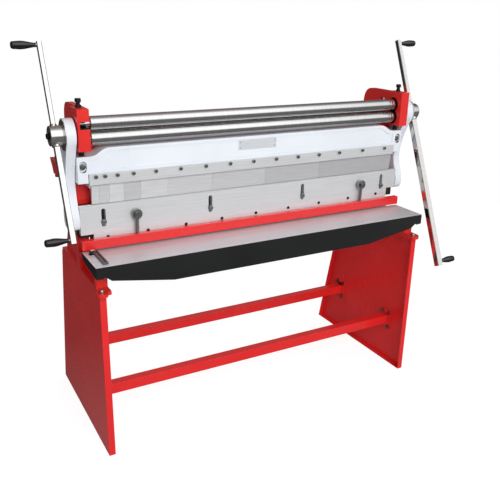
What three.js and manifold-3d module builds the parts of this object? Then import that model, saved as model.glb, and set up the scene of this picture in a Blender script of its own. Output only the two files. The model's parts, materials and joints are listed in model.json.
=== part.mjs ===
// Combined sheet metal machine on a stand: shear, finger brake and slip roll, about 1320 mm working width.
// Millimetres, +Z up, X along the machine, Y from the operator's side (front) to the rear.
// Every piece is built in the machine frame: x = 0 at mid length, y = 0 at the front of the stand
// panels, z = 0 on the floor. The exported group moves it so that the origin is at the middle of the
// floor footprint of the whole machine.
import * as THREE from "three";
import { mergeVertices } from "three/addons/utils/BufferGeometryUtils.js";
import Module from "manifold-3d";

const wasm = await Module();
wasm.setup();

// ---------------------------------------------------------------- driving dimensions
const GAP = 0.3; // between pieces that touch or are pressed together
const RUN = 0.4; // radial clearance of a turning journal or screw

// side frames
const HALF_SPAN = 672; // machine centre to the inner face of a side frame
const FRAME_THICK = 41;
const FRAME_OUT = HALF_SPAN + FRAME_THICK;
const WEB_THICK = 22;
const FOOT_THICK = 13.4;
const SHELF_THICK = 15;
const COLUMN_DEEP = 50;

// stand
const STAND_HIGH = 658;
const STAND_FOOT_DEEP = 657;
const STAND_TOP_DEEP = 515;
const STAND_SHEET = 4;
const STAND_FLANGE = 24;
const BAR_DEEP = 38;
const BAR_HIGH = 42;
const FRONT_BAR = { y: 125, z: 181 };
const REAR_BAR = { y: 491, z: 195 };
const BAR_PLATE = { wide: 62, high: 92, thick: 5 };

// shear table and blades
const TABLE_TOP = STAND_HIGH + 105;
const TABLE_FRONT = -10;
const TABLE_REAR = 163;
const TABLE_SLAB = 22;
const TABLE_HALF = FRAME_OUT + 9;
const TABLE_END_DROP = 41; // depth of the table's end blocks
const APRON_THICK = 20;
const APRON_DEPTH = 92; // belly of the apron below the table top
const BLADE_LINE = TABLE_REAR + 15; // the plane where the two shear blades pass each other
const BLADE_THICK = 14;
const LOWER_BLADE_HIGH = 28;
const GAUGE = { wide: 19, thick: 7 };

// ram, upper blade and brake die
const EDGE_OPEN = 4; // low end of the upper cutting edge above the table at rest
const RAKE = 22; // rise of the upper cutting edge over its length
const DIE_TOP = TABLE_TOP + 162;
const DIE_THICK = 20;
const DIE_HALF = FRAME_OUT + 3;
const SEAM_LEFT = TABLE_TOP + 56; // seam between die plate and upper blade at the die plate's left end
const SEAM_RIGHT = TABLE_TOP + 82;
const RAM_DEEP = 40;
const RAM_LUG_BOTTOM = TABLE_TOP + 40;
const RAM_BOTTOM = RAM_LUG_BOTTOM - 24;
const COLUMN_FRONT = BLADE_LINE + DIE_THICK + RAM_DEEP + 2;
const GUIDE = { wide: 34, deep: 30, bottom: TABLE_TOP + 60, top: DIE_TOP + 120 }; // rib the ram slides on
const PIN_Y = COLUMN_FRONT - 22;
const PIN_Z = TABLE_TOP + 109;
const PIN_R = 12;
const SLOT_X = [-(HALF_SPAN - 41), -208, 217, HALF_SPAN - 37];
const SLOT = { wide: 16, bottom: TABLE_TOP + 80, top: TABLE_TOP + 147 };

// hold-down bar and its posts
const HOLD_FRONT = BLADE_LINE - 27;
const HOLD_DEEP = 23;
const HOLD_BOTTOM = TABLE_TOP + 7;
const HOLD_HIGH = 35;
const POST_X = HALF_SPAN - 160;
const POST_Y = HOLD_FRONT + HOLD_DEEP / 2;
const POST_R = 6.5;
const POST_BOTTOM = HOLD_BOTTOM + 30;
const POST_EYE = { z: TABLE_TOP + 117, r: 19, thick: 17 };
const POST_BOLT = { r: 6, headR: 12.5, headThick: 8 };

// upper beam, clamp bar and brake fingers
const FINGER_THICK = 15.5;
const FINGER_BOTTOM = DIE_TOP + 3;
const CLAMP_THICK = 13;
const CLAMP_BOTTOM = DIE_TOP + 76.7;
const CLAMP_TOP = DIE_TOP + 116;
const CLAMP_HALF = HALF_SPAN + 6;
const FINGER_LEFT = -(HALF_SPAN - 3.5);
const FINGER_RIGHT = HALF_SPAN + 7.5;
const NARROW_FINGERS = [28, 36, 54, 64, 105, 182, 236, 261]; // the last finger fills the rest of the row
const FINGER_FRONT = BLADE_LINE - 1.7;
const FINGER_BACK = FINGER_FRONT + FINGER_THICK;
const CLAMP_FRONT = FINGER_FRONT - GAP - CLAMP_THICK;
const BEAM_FRONT = CLAMP_FRONT + 2;
const BEAM_REAR = COLUMN_FRONT - GAP;
const BEAM_HALF = FRAME_OUT + 3;
const BEAM_LUG = { inner: HALF_SPAN + 8, bottom: DIE_TOP + 85, top: DIE_TOP + 178 };
const BEAM_CREST = DIE_TOP + 205;
const BEAM_LOWER = DIE_TOP + 60;
const BEAM_RIM = 12;
const BEAM_RECESS = 4;
const BEAM_BOLT = { x: HALF_SPAN + 24, z: DIE_TOP + 143, slotWide: 26, slotHigh: 40, headR: 11, shankR: 7 };
const NAME_PLATE = { left: -92, right: 75, bottom: BEAM_CREST - 51, top: BEAM_CREST - 15 };

// rolls
const ROLL_R = 24;
const ROLL_SPACING = 2 * ROLL_R + 4;
const ROLL_Y = BLADE_LINE + 8;
const LOWER_ROLL_Z = BEAM_CREST + 7.5 + ROLL_R;
const UPPER_ROLL_Z = LOWER_ROLL_Z + ROLL_SPACING;
const ROLL_LEFT = -(HALF_SPAN - 12);
const ROLL_RIGHT = HALF_SPAN + 0.5;
const JOURNAL_R = 12;
const GROOVES = [38, 27, 16].map((fromEnd) => ROLL_RIGHT - fromEnd);
const GEAR_TEETH = 18;
const GEAR_WIDE = 10;
const BENDING_R = 24;
const BENDING_JOURNAL_R = 10;
const BENDING_HALF = HALF_SPAN - 16;
const BENDING_Y = ROLL_Y + ROLL_R + BENDING_R + 28;
const BENDING_Z = LOWER_ROLL_Z + 18.8;
const BENDING_LIFT = 30;
const SLIDE = { half: 14, below: 20, high: 40, flange: 6 };

// roll housing at the top of a side frame
const HOUSING_FRONT = ROLL_Y - ROLL_R - 27;
const HOUSING_REAR = ROLL_Y + ROLL_R + 18;
const HOUSING_BOTTOM = BEAM_LUG.top + 24;
const FRAME_TOP = UPPER_ROLL_Z + ROLL_R + 30.5;
const SCREW = { x: HALF_SPAN + 21.5, r: 8, head: 30 };
const REAR_LUG = { rear: COLUMN_FRONT + 360, bottom: TABLE_TOP + 203, top: TABLE_TOP + 257 };
const REAR_SCREW = { x: HALF_SPAN + 22, y: REAR_LUG.rear - 34, r: 7 };
const EAR = { r: 19, left: FRAME_OUT - 9, right: FRAME_OUT - 22 }; // bolting ears at the front of the foot

// crank: eccentric hubs on the lower roll's ends, levers and grips
const THROW = 17; // half of the ram's stroke
const SLEEVE_R = THROW + JOURNAL_R + 4;
const ARM_THICK = 33;
const ARM_IN = FRAME_OUT + 4.3;
const ARM_OUT = ARM_IN + ARM_THICK;
const EVEN_LAG = 0.212 * THROW; // an even stroke strays this far from the eccentric's own
const EYE_HALF = SLEEVE_R + 0.8 + EVEN_LAG;
const EYE_SHIFT = THROW - EVEN_LAG;
const EYE_WALL = 18;
const HUB_R = SLEEVE_R + 1;
const HUB_LONG = 44;
const FLANGE_R = EYE_HALF + EYE_SHIFT + 1.2;
const FLANGE_THICK = 3;
const HUB_IN = ARM_OUT + GAP + FLANGE_THICK;
const HUB_OUT = HUB_IN + HUB_LONG;
const HUB_Z = LOWER_ROLL_Z + THROW;
const LEVER_X = HUB_IN + 24;
const LEVER_LEAN = THREE.MathUtils.degToRad(23.5);
const SPIGOT = { r: 7, deep: 20 };
const UPPER_ARM = { left: { side: 16, long: 320 }, right: { side: 20, long: 320 } };
const LOWER_LEVER = { left: { side: 20, long: 366 }, right: { side: 27, long: 693 } };
const GRIP = { thinR: 7, fatR: 14, pinR: 4, pinLong: 40 };
const GRIP_END = LEVER_X + 92.3; // all four grips end in line

// ---------------------------------------------------------------- finishes
function finish(color, roughness, metalness) {
  return new THREE.MeshStandardMaterial({ color, roughness, metalness });
}
const RED = finish(0xd8362f, 0.45, 0.1);
const WHITE = finish(0xe4eaf0, 0.4, 0.1);
const BLACK = finish(0x161819, 0.45, 0.1);
const GROUND = finish(0xbdbcb6, 0.35, 0.9);
const CHROME = finish(0xd6d6d6, 0.12, 1);
const DARK_STEEL = finish(0x3a3a3c, 0.4, 0.7);
const PLASTIC = finish(0x101011, 0.3, 0);
const ALLOY = finish(0xc9ccd0, 0.4, 0.6);

// ---------------------------------------------------------------- solids
function solid(geometry) {
  geometry.deleteAttribute("normal");
  geometry.deleteAttribute("uv");
  const merged = mergeVertices(geometry, 1e-3);
  return new wasm.Manifold(
    new wasm.Mesh({
      numProp: 3,
      vertProperties: merged.attributes.position.array,
      triVerts: new Uint32Array(merged.index.array),
    }),
  );
}

const join = (first, ...others) => others.reduce((whole, piece) => whole.add(piece), first);
const cut = (first, ...others) => others.reduce((whole, piece) => whole.subtract(piece), first);

// A block between two x, two y and two z values, each pair in any order.
function block(x0, x1, y0, y1, z0, z1) {
  const geometry = new THREE.BoxGeometry(Math.abs(x1 - x0), Math.abs(y1 - y0), Math.abs(z1 - z0));
  geometry.translate((x0 + x1) / 2, (y0 + y1) / 2, (z0 + z1) / 2);
  return solid(geometry);
}

function outline(points) {
  const shape = new THREE.Shape();
  points.forEach(([a, b], i) => (i ? shape.lineTo(a, b) : shape.moveTo(a, b)));
  return shape;
}

function extrude(shape, thick, curveSegments = 6) {
  return new THREE.ExtrudeGeometry(shape, { depth: thick, bevelEnabled: false, curveSegments });
}

// A (y, z) shape given thickness from x0 to x1.
function plateX(shape, x0, x1, curveSegments) {
  const geometry = extrude(shape, Math.abs(x1 - x0), curveSegments);
  const axes = [new THREE.Vector3(0, 1, 0), new THREE.Vector3(0, 0, 1), new THREE.Vector3(1, 0, 0)];
  geometry.applyMatrix4(new THREE.Matrix4().makeBasis(...axes));
  geometry.translate(Math.min(x0, x1), 0, 0);
  return solid(geometry);
}

// An (x, z) shape given thickness from y0 to y1, y0 the lower.
function plateY(shape, y0, y1, curveSegments) {
  const geometry = extrude(shape, y1 - y0, curveSegments);
  geometry.rotateX(Math.PI / 2);
  geometry.translate(0, y1, 0);
  return solid(geometry);
}

// An (x, y) shape given thickness from z0 to z1.
function plateZ(shape, z0, z1, curveSegments) {
  const geometry = extrude(shape, z1 - z0, curveSegments);
  geometry.translate(0, 0, z0);
  return solid(geometry);
}

function rod(r, from, to, sides = 24) {
  const a = new THREE.Vector3(...from);
  const b = new THREE.Vector3(...to);
  const along = b.clone().sub(a);
  const geometry = new THREE.CylinderGeometry(r, r, along.length(), sides);
  const upright = new THREE.Vector3(0, 1, 0);
  geometry.applyQuaternion(new THREE.Quaternion().setFromUnitVectors(upright, along.normalize()));
  geometry.translate(...a.add(b).multiplyScalar(0.5));
  return solid(geometry);
}

const rodX = (r, x0, x1, y, z, sides) => rod(r, [x0, y, z], [x1, y, z], sides);
const rodY = (r, y0, y1, x, z, sides) => rod(r, [x, y0, z], [x, y1, z], sides);
const rodZ = (r, z0, z1, x, y, sides) => rod(r, [x, y, z0], [x, y, z1], sides);

// A body of revolution about X from a list of [x, radius] that starts and ends on the axis.
function turned(profile, sides) {
  const points = profile.map(([x, r]) => new THREE.Vector2(r, x));
  const geometry = new THREE.LatheGeometry(points, sides);
  geometry.rotateZ(-Math.PI / 2);
  const made = solid(geometry);
  return made;
}

function geometryOf(made) {
  const mesh = made.getMesh();
  const corners = new Float32Array(mesh.numVert * 3);
  for (let i = 0; i < mesh.numVert; i += 1) {
    corners.set(mesh.vertProperties.subarray(i * mesh.numProp, i * mesh.numProp + 3), i * 3);
  }
  const geometry = new THREE.BufferGeometry();
  geometry.setAttribute("position", new THREE.BufferAttribute(corners, 3));
  geometry.setIndex(new THREE.BufferAttribute(mesh.triVerts, 1));
  geometry.computeVertexNormals();
  return geometry;
}

const machine = new THREE.Group();
const crank = new THREE.Group();
crank.position.set(0, ROLL_Y, LOWER_ROLL_Z);
const upperRoll = new THREE.Group();
upperRoll.position.set(0, ROLL_Y, UPPER_ROLL_Z);
const bendingRoll = new THREE.Group();
bendingRoll.position.set(0, BENDING_Y, BENDING_Z);
machine.add(crank, upperRoll, bendingRoll);

function piece(name, made, material, group = machine) {
  const mesh = new THREE.Mesh(geometryOf(made), material);
  mesh.name = name;
  group.add(mesh);
}

const SIDES = [
  { name: "left", at: -1 },
  { name: "right", at: 1 },
];

// ---------------------------------------------------------------- stand
// A folded sheet panel: upright web, flanges turned inwards along the front, the sloping rear,
// the top that carries the side frame, and the floor.
function standPanel(at) {
  const outer = at * FRAME_OUT;
  const flangeIn = at * (FRAME_OUT - STAND_FLANGE);
  const side = outline([[0, 0], [STAND_FOOT_DEEP, 0], [STAND_TOP_DEEP, STAND_HIGH], [0, STAND_HIGH]]);
  const rear = outline([
    [STAND_FOOT_DEEP - STAND_SHEET, 0],
    [STAND_FOOT_DEEP, 0],
    [STAND_TOP_DEEP, STAND_HIGH],
    [STAND_TOP_DEEP - STAND_SHEET, STAND_HIGH],
  ]);
  return join(
    plateX(side, at * (FRAME_OUT - STAND_SHEET), outer),
    block(flangeIn, outer, 0, STAND_SHEET, 0, STAND_HIGH),
    plateX(rear, flangeIn, outer),
    block(at * HALF_SPAN, outer, 0, STAND_TOP_DEEP, STAND_HIGH - STAND_SHEET, STAND_HIGH),
    block(flangeIn, outer, 0, STAND_FOOT_DEEP, 0, STAND_SHEET),
  );
}

// A square tube with a bolting plate welded on each end, between the two panels.
function crossBar({ y, z }) {
  const end = FRAME_OUT - STAND_SHEET - GAP;
  const plateY0 = y + BAR_DEEP / 2 - BAR_PLATE.wide / 2 - 10;
  const plateZ0 = z + BAR_HIGH / 2 - BAR_PLATE.high / 2 + 3;
  const plates = SIDES.map(({ at }) =>
    block(
      at * (end - BAR_PLATE.thick),
      at * end,
      plateY0,
      plateY0 + BAR_PLATE.wide,
      plateZ0,
      plateZ0 + BAR_PLATE.high,
    ),
  );
  return join(block(-end, end, y, y + BAR_DEEP, z, z + BAR_HIGH), ...plates);
}

// ---------------------------------------------------------------- side frames
// The cast frame: a foot with a bolting ear and a shelf for the table, a column with a web behind it
// and a rib that guides the ram, a roll housing on top and a lug to the rear that carries a long screw.
function sideFrame(at) {
  const inner = at * HALF_SPAN;
  const outer = at * FRAME_OUT;
  const foot = STAND_HIGH + GAP;
  const footTop = foot + FOOT_THICK;
  const footRear = STAND_TOP_DEEP - 10;
  const shelfFront = 34;
  const shelfTop = TABLE_TOP - TABLE_SLAB - GAP;
  const backY = COLUMN_FRONT + COLUMN_DEEP + 100;
  const web = outline([
    [shelfFront, footTop],
    [shelfFront, shelfTop],
    [COLUMN_FRONT, shelfTop],
    [COLUMN_FRONT, HOUSING_BOTTOM],
    [HOUSING_FRONT, HOUSING_BOTTOM],
    [HOUSING_FRONT, FRAME_TOP],
  ]);
  web.lineTo(backY - 55, FRAME_TOP);
  web.quadraticCurveTo(backY - 6, FRAME_TOP, backY - 1, FRAME_TOP - 56);
  web.lineTo(backY + 1, TABLE_TOP + 142);
  web.lineTo(backY - 3, TABLE_TOP + 48);
  web.lineTo(footRear - 42, TABLE_TOP + 1);
  web.lineTo(footRear - 7, footTop + 31);
  web.lineTo(footRear, footTop);
  const rearLug = outline([
    [COLUMN_FRONT + COLUMN_DEEP, REAR_LUG.bottom],
    [REAR_LUG.rear - 45, REAR_LUG.bottom],
    [REAR_LUG.rear - 30, REAR_LUG.top - 30],
    [REAR_LUG.rear, REAR_LUG.top],
    [COLUMN_FRONT + COLUMN_DEEP, REAR_LUG.top],
  ]);
  const earX = at < 0 ? EAR.left : EAR.right;
  const ear = new THREE.Shape();
  ear.moveTo(at * earX - EAR.r, 14);
  ear.lineTo(at * earX - EAR.r, -10);
  ear.absarc(at * earX, -10, EAR.r, Math.PI, 2 * Math.PI, false);
  ear.lineTo(at * earX + EAR.r, 14);
  const casting = join(
    plateX(web, inner, at * (HALF_SPAN + WEB_THICK)),
    block(inner, outer, -8, footRear, foot, footTop),
    block(inner, outer, shelfFront, shelfFront + 24, footTop - 1, shelfTop),
    block(inner, outer, shelfFront, COLUMN_FRONT + 10, shelfTop - SHELF_THICK, shelfTop),
    block(inner, outer, COLUMN_FRONT, COLUMN_FRONT + COLUMN_DEEP, footTop - 1, HOUSING_BOTTOM),
    block(inner, outer, HOUSING_FRONT, HOUSING_REAR, HOUSING_BOTTOM, FRAME_TOP),
    plateX(rearLug, inner, outer),
    plateZ(ear, foot, footTop),
    block(
      at * (HALF_SPAN - GUIDE.wide),
      at * (HALF_SPAN + 1),
      COLUMN_FRONT,
      COLUMN_FRONT + GUIDE.deep,
      GUIDE.bottom,
      GUIDE.top,
    ),
  );
  const blindEnd = at * (FRAME_OUT - 8);
  const slideBottom = BENDING_Z - SLIDE.below - GAP;
  const slideTop = slideBottom + SLIDE.high + BENDING_LIFT + 5;
  const bores = [
    rodX(JOURNAL_R + RUN, at * (HALF_SPAN - 1), at * (FRAME_OUT + 1), ROLL_Y, LOWER_ROLL_Z, 32),
    rodX(JOURNAL_R + RUN, at * (HALF_SPAN - 1), blindEnd, ROLL_Y, UPPER_ROLL_Z, 32),
    rodZ(SCREW.r + RUN, FRAME_TOP - 32, FRAME_TOP + 1, at * SCREW.x, ROLL_Y),
    rodZ(SCREW.r + RUN, HOUSING_BOTTOM - 1, HOUSING_BOTTOM + 13, at * SCREW.x, ROLL_Y),
    rodZ(REAR_SCREW.r + RUN, REAR_LUG.bottom - 1, REAR_LUG.top + 1, at * REAR_SCREW.x, REAR_SCREW.y),
    block(
      at * (HALF_SPAN - 1),
      at * (HALF_SPAN + WEB_THICK + 1),
      BENDING_Y - SLIDE.half,
      BENDING_Y + SLIDE.half,
      slideBottom,
      slideTop,
    ),
  ];
  return cut(casting, ...bores, ...(at < 0 ? [swingSlot(blindEnd)] : gearPockets()));
}

// The left housing is open to the front, so that the upper roll's end can swing out.
function swingSlot(blindEnd) {
  const half = JOURNAL_R + RUN;
  return block(-HALF_SPAN + 1, blindEnd, HOUSING_FRONT - 1, ROLL_Y, UPPER_ROLL_Z - half, UPPER_ROLL_Z + half);
}

// The right housing has a round pocket for each roll gear.
function gearPockets() {
  const pocketR = ROLL_SPACING / 2 + 4.5;
  const pocketEnd = HALF_SPAN + GEAR_WIDE + 2.5;
  return [LOWER_ROLL_Z, UPPER_ROLL_Z].map((z) => rodX(pocketR, HALF_SPAN - 1, pocketEnd, ROLL_Y, z, 32));
}

// ---------------------------------------------------------------- shear table
function bedTable() {
  const under = TABLE_TOP - TABLE_SLAB;
  const endBottom = TABLE_TOP - TABLE_END_DROP;
  const knee = HALF_SPAN - 232; // where the apron's belly levels out
  const belly = outline([
    [-TABLE_HALF, TABLE_TOP],
    [-TABLE_HALF, endBottom],
    [-TABLE_HALF + 24, endBottom - 2],
    [-TABLE_HALF + 31, endBottom + 4],
    [-TABLE_HALF + 53, endBottom - 13],
    [-knee, TABLE_TOP - APRON_DEPTH],
    [knee, TABLE_TOP - APRON_DEPTH],
    [TABLE_HALF - 53, endBottom - 13],
    [TABLE_HALF - 31, endBottom + 4],
    [TABLE_HALF - 24, endBottom - 2],
    [TABLE_HALF, endBottom],
    [TABLE_HALF, TABLE_TOP],
  ]);
  const endShape = outline([
    [TABLE_FRONT, endBottom],
    [20, endBottom],
    [TABLE_REAR, under - 4],
    [TABLE_REAR, TABLE_TOP],
    [TABLE_FRONT, TABLE_TOP],
  ]);
  const ribShape = outline([
    [TABLE_FRONT + APRON_THICK - 1, TABLE_TOP - 80],
    [TABLE_REAR - 10, under - 12],
    [TABLE_REAR - 10, under + 1],
    [TABLE_FRONT + APRON_THICK - 1, under + 1],
  ]);
  const ends = SIDES.map(({ at }) => plateX(endShape, at * (FRAME_OUT + 2 * GAP), at * TABLE_HALF));
  const ribs = [-330, 0, 330].map((x) => plateX(ribShape, x - 6, x + 6));
  return join(
    plateY(belly, TABLE_FRONT, TABLE_FRONT + APRON_THICK),
    block(-TABLE_HALF, TABLE_HALF, TABLE_FRONT, TABLE_REAR, under, TABLE_TOP),
    ...ends,
    ...ribs,
  );
}

const lowerBlade = () =>
  block(
    -HALF_SPAN + 1,
    HALF_SPAN - 1,
    TABLE_REAR + GAP,
    BLADE_LINE - GAP,
    TABLE_TOP - GAP - LOWER_BLADE_HIGH,
    TABLE_TOP - GAP,
  );

function sideGauge() {
  const inner = -HALF_SPAN + 1;
  const bottom = TABLE_TOP + GAP;
  return block(inner - GAUGE.wide, inner, 12, HOLD_FRONT - 2, bottom, bottom + GAUGE.thick);
}

// ---------------------------------------------------------------- ram
const seamZ = (x) => SEAM_LEFT + ((x + DIE_HALF) / (2 * DIE_HALF)) * (SEAM_RIGHT - SEAM_LEFT);

function diePlate() {
  const shape = outline([
    [-DIE_HALF, seamZ(-DIE_HALF)],
    [DIE_HALF, seamZ(DIE_HALF)],
    [DIE_HALF, DIE_TOP],
    [-DIE_HALF, DIE_TOP],
  ]);
  const groove = outline([
    [BLADE_LINE + 4, DIE_TOP + 1],
    [BLADE_LINE + 9, DIE_TOP - 6],
    [BLADE_LINE + 14, DIE_TOP + 1],
  ]);
  const half = SLOT.wide / 2;
  const slots = SLOT_X.map((x) => {
    const slot = new THREE.Shape();
    slot.absarc(x, SLOT.bottom + half, half, Math.PI, 2 * Math.PI, false);
    slot.absarc(x, SLOT.top - half, half, 0, Math.PI, false);
    return plateY(slot, BLADE_LINE - 1, BLADE_LINE + DIE_THICK + 1);
  });
  const bolts = SIDES.map(({ at }) =>
    rodY(POST_BOLT.r + GAP, BLADE_LINE - 1, BLADE_LINE + DIE_THICK + 1, at * POST_X, POST_EYE.z, 16),
  );
  return cut(
    plateY(shape, BLADE_LINE, BLADE_LINE + DIE_THICK),
    plateX(groove, -DIE_HALF - 1, DIE_HALF + 1),
    ...slots,
    ...bolts,
  );
}

function upperBlade() {
  const half = HALF_SPAN - 2;
  const edge = TABLE_TOP + EDGE_OPEN;
  const shape = outline([
    [-half, edge],
    [half, edge + RAKE],
    [half, seamZ(half) - GAP],
    [-half, seamZ(-half) - GAP],
  ]);
  return plateY(shape, BLADE_LINE, BLADE_LINE + BLADE_THICK);
}

// The ram's main bar behind the die plate and the blade, with a lug past each side frame for the arm pin.
function ramBeam() {
  const ramRear = COLUMN_FRONT - 2;
  const backOfDie = BLADE_LINE + DIE_THICK + GAP;
  const backOfBlade = BLADE_LINE + BLADE_THICK + GAP;
  const section = outline([
    [backOfBlade, RAM_BOTTOM],
    [ramRear, RAM_BOTTOM],
    [ramRear, DIE_TOP - 5],
    [backOfDie, DIE_TOP - 5],
    [backOfDie, SEAM_LEFT - 4],
    [backOfBlade, SEAM_LEFT - 4],
  ]);
  const lugs = SIDES.map(({ at }) =>
    cut(
      block(at * (HALF_SPAN - 20), at * (ARM_IN - 2 * GAP), backOfDie, ramRear, RAM_LUG_BOTTOM, DIE_TOP - 5),
      rodX(PIN_R + GAP, at * (FRAME_OUT - 20), at * (ARM_IN + 1), PIN_Y, PIN_Z),
    ),
  );
  return join(plateX(section, -HALF_SPAN + 1.5, HALF_SPAN - 1.5), ...lugs);
}

// ---------------------------------------------------------------- hold-down
const holdDownBar = () =>
  cut(
    block(
      -TABLE_HALF + 1,
      TABLE_HALF - 1,
      HOLD_FRONT,
      HOLD_FRONT + HOLD_DEEP,
      HOLD_BOTTOM,
      HOLD_BOTTOM + HOLD_HIGH,
    ),
    ...SIDES.map(({ at }) =>
      rodZ(POST_R + RUN, HOLD_BOTTOM - 1, HOLD_BOTTOM + HOLD_HIGH + 1, at * POST_X, POST_Y, 16),
    ),
  );

const holdDownPost = (at) =>
  cut(
    join(
      rodY(POST_EYE.r, POST_Y - POST_EYE.thick / 2, POST_Y + POST_EYE.thick / 2, at * POST_X, POST_EYE.z),
      rodZ(POST_R, POST_BOTTOM, POST_EYE.z - 8, at * POST_X, POST_Y, 16),
    ),
    rodY(POST_BOLT.r + GAP, POST_Y - POST_EYE.thick, POST_Y + POST_EYE.thick, at * POST_X, POST_EYE.z, 16),
  );

const holdDownBolt = (at) => {
  const face = POST_Y - POST_EYE.thick / 2 - GAP;
  return join(
    rodY(POST_BOLT.headR, face - POST_BOLT.headThick, face, at * POST_X, POST_EYE.z, 6),
    rodY(POST_BOLT.r, face - 1, BLADE_LINE + DIE_THICK - 2, at * POST_X, POST_EYE.z, 16),
  );
};

// ---------------------------------------------------------------- upper beam and brake fingers
// The beam seen from the front: a lug at each end, a sloping shoulder and a level crest.
function beamShape(inset, withLugs) {
  const crest = BEAM_CREST - inset;
  const low = CLAMP_TOP + GAP + inset;
  const shoulder = BEAM_LUG.top - inset;
  const shoulderX = HALF_SPAN - 4 - inset;
  const end = withLugs ? BEAM_HALF : BEAM_LUG.inner - inset;
  const shape = new THREE.Shape();
  shape.moveTo(-end, low);
  shape.lineTo(end, low);
  shape.lineTo(end, shoulder);
  shape.lineTo(shoulderX, shoulder);
  shape.bezierCurveTo(shoulderX - 28, shoulder, shoulderX - 36, crest, shoulderX - 68, crest);
  shape.lineTo(68 - shoulderX, crest);
  shape.bezierCurveTo(36 - shoulderX, crest, 28 - shoulderX, shoulder, -shoulderX, shoulder);
  shape.lineTo(-end, shoulder);
  return shape;
}

function upperBeam() {
  const back = FINGER_BACK + GAP;
  const lug = (at) =>
    block(at * BEAM_LUG.inner, at * BEAM_HALF, BEAM_FRONT, BEAM_REAR, BEAM_LUG.bottom, BEAM_LUG.top);
  const slot = (at) => {
    const half = BEAM_BOLT.slotWide / 2;
    const rise = (BEAM_BOLT.slotHigh - BEAM_BOLT.slotWide) / 2;
    const shape = new THREE.Shape();
    shape.absarc(at * BEAM_BOLT.x, BEAM_BOLT.z - rise, half, Math.PI, 2 * Math.PI, false);
    shape.absarc(at * BEAM_BOLT.x, BEAM_BOLT.z + rise, half, 0, Math.PI, false);
    return plateY(shape, BEAM_FRONT - 1, BEAM_FRONT + 12);
  };
  const hole = (at) =>
    rodY(BEAM_BOLT.shankR + GAP, BEAM_FRONT, BEAM_REAR + 1, at * BEAM_BOLT.x, BEAM_BOLT.z, 16);
  return cut(
    join(
      plateY(beamShape(0, true), BEAM_FRONT, BEAM_REAR),
      block(-HALF_SPAN, HALF_SPAN, back, BEAM_REAR, BEAM_LOWER, CLAMP_TOP + 5),
      lug(-1),
      lug(1),
    ),
    plateY(beamShape(BEAM_RIM, false), BEAM_FRONT - 1, BEAM_FRONT + BEAM_RECESS),
    slot(-1),
    slot(1),
    hole(-1),
    hole(1),
  );
}

const beamBolt = (at) =>
  join(
    rodY(BEAM_BOLT.headR, BEAM_FRONT + 2, BEAM_FRONT + 12 - GAP, at * BEAM_BOLT.x, BEAM_BOLT.z, 6),
    rodY(BEAM_BOLT.shankR, BEAM_FRONT + 3, BEAM_REAR - 1, at * BEAM_BOLT.x, BEAM_BOLT.z, 16),
  );

const clampBar = () =>
  block(-CLAMP_HALF, CLAMP_HALF, CLAMP_FRONT, CLAMP_FRONT + CLAMP_THICK, CLAMP_BOTTOM, CLAMP_TOP);

// One finger: a flat bar whose front below the clamp bar is ground back to the bending edge.
function finger(x0, x1) {
  const shape = outline([
    [FINGER_FRONT, CLAMP_BOTTOM],
    [FINGER_FRONT + 9, FINGER_BOTTOM],
    [FINGER_FRONT + 12, FINGER_BOTTOM],
    [FINGER_BACK, FINGER_BOTTOM + 8],
    [FINGER_BACK, CLAMP_TOP - 1],
    [FINGER_FRONT, CLAMP_TOP - 1],
  ]);
  return plateX(shape, x0 + GAP / 2, x1 - GAP / 2);
}

function namePlate() {
  const { left, right, bottom, top } = NAME_PLATE;
  return block(left, right, BEAM_FRONT + 2, BEAM_FRONT + BEAM_RECESS - GAP, bottom, top);
}

// ---------------------------------------------------------------- rolls
function rollProfile(grooves, left, right, r, journalR, journalEnd) {
  const profile = [
    [-journalEnd, 0],
    [-journalEnd, journalR],
    [left, journalR],
    [left, r],
  ];
  grooves.forEach((x) => profile.push([x - 3, r], [x - 1.5, r - 2], [x + 1.5, r - 2], [x + 3, r]));
  profile.push([right, r], [right, journalR], [journalEnd, journalR], [journalEnd, 0]);
  return profile;
}

const ROLL_SIDES = 32;
const JOURNAL_END = HUB_IN + 8;
const mainRoll = (journalEnd) =>
  turned(rollProfile(GROOVES, ROLL_LEFT, ROLL_RIGHT, ROLL_R, JOURNAL_R, journalEnd), ROLL_SIDES);
const lowerRollSolid = () => mainRoll(JOURNAL_END);
const upperRollSolid = () => mainRoll(FRAME_OUT - 9);
const bendingRollSolid = () =>
  turned(
    rollProfile([], -BENDING_HALF, BENDING_HALF, BENDING_R, BENDING_JOURNAL_R, HALF_SPAN + WEB_THICK),
    ROLL_SIDES,
  );

// A spur gear on a roll journal in the right housing; turn is the angle of its first tooth.
function rollGear(turn) {
  const pitchR = ROLL_SPACING / 2;
  const tooth = (2 * pitchR) / GEAR_TEETH; // the gear's module
  const tip = pitchR + 0.76 * tooth;
  const root = pitchR - 1.07 * tooth;
  const tipHalf = (0.38 * tooth) / tip;
  const rootHalf = (1.04 * tooth) / root;
  const shape = new THREE.Shape();
  for (let i = 0; i < GEAR_TEETH; i += 1) {
    const middle = turn + (i * 2 * Math.PI) / GEAR_TEETH;
    [
      [root, -rootHalf],
      [tip, -tipHalf],
      [tip, tipHalf],
      [root, rootHalf],
    ].forEach(([r, off], k) => {
      const y = r * Math.cos(middle + off);
      const z = r * Math.sin(middle + off);
      if (i + k) shape.lineTo(y, z);
      else shape.moveTo(y, z);
    });
  }
  const x0 = HALF_SPAN + 1;
  const x1 = x0 + GEAR_WIDE;
  return cut(plateX(shape, x0, x1), rodX(JOURNAL_R + GAP, x0 - 1, x1 + 1, 0, 0));
}

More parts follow.
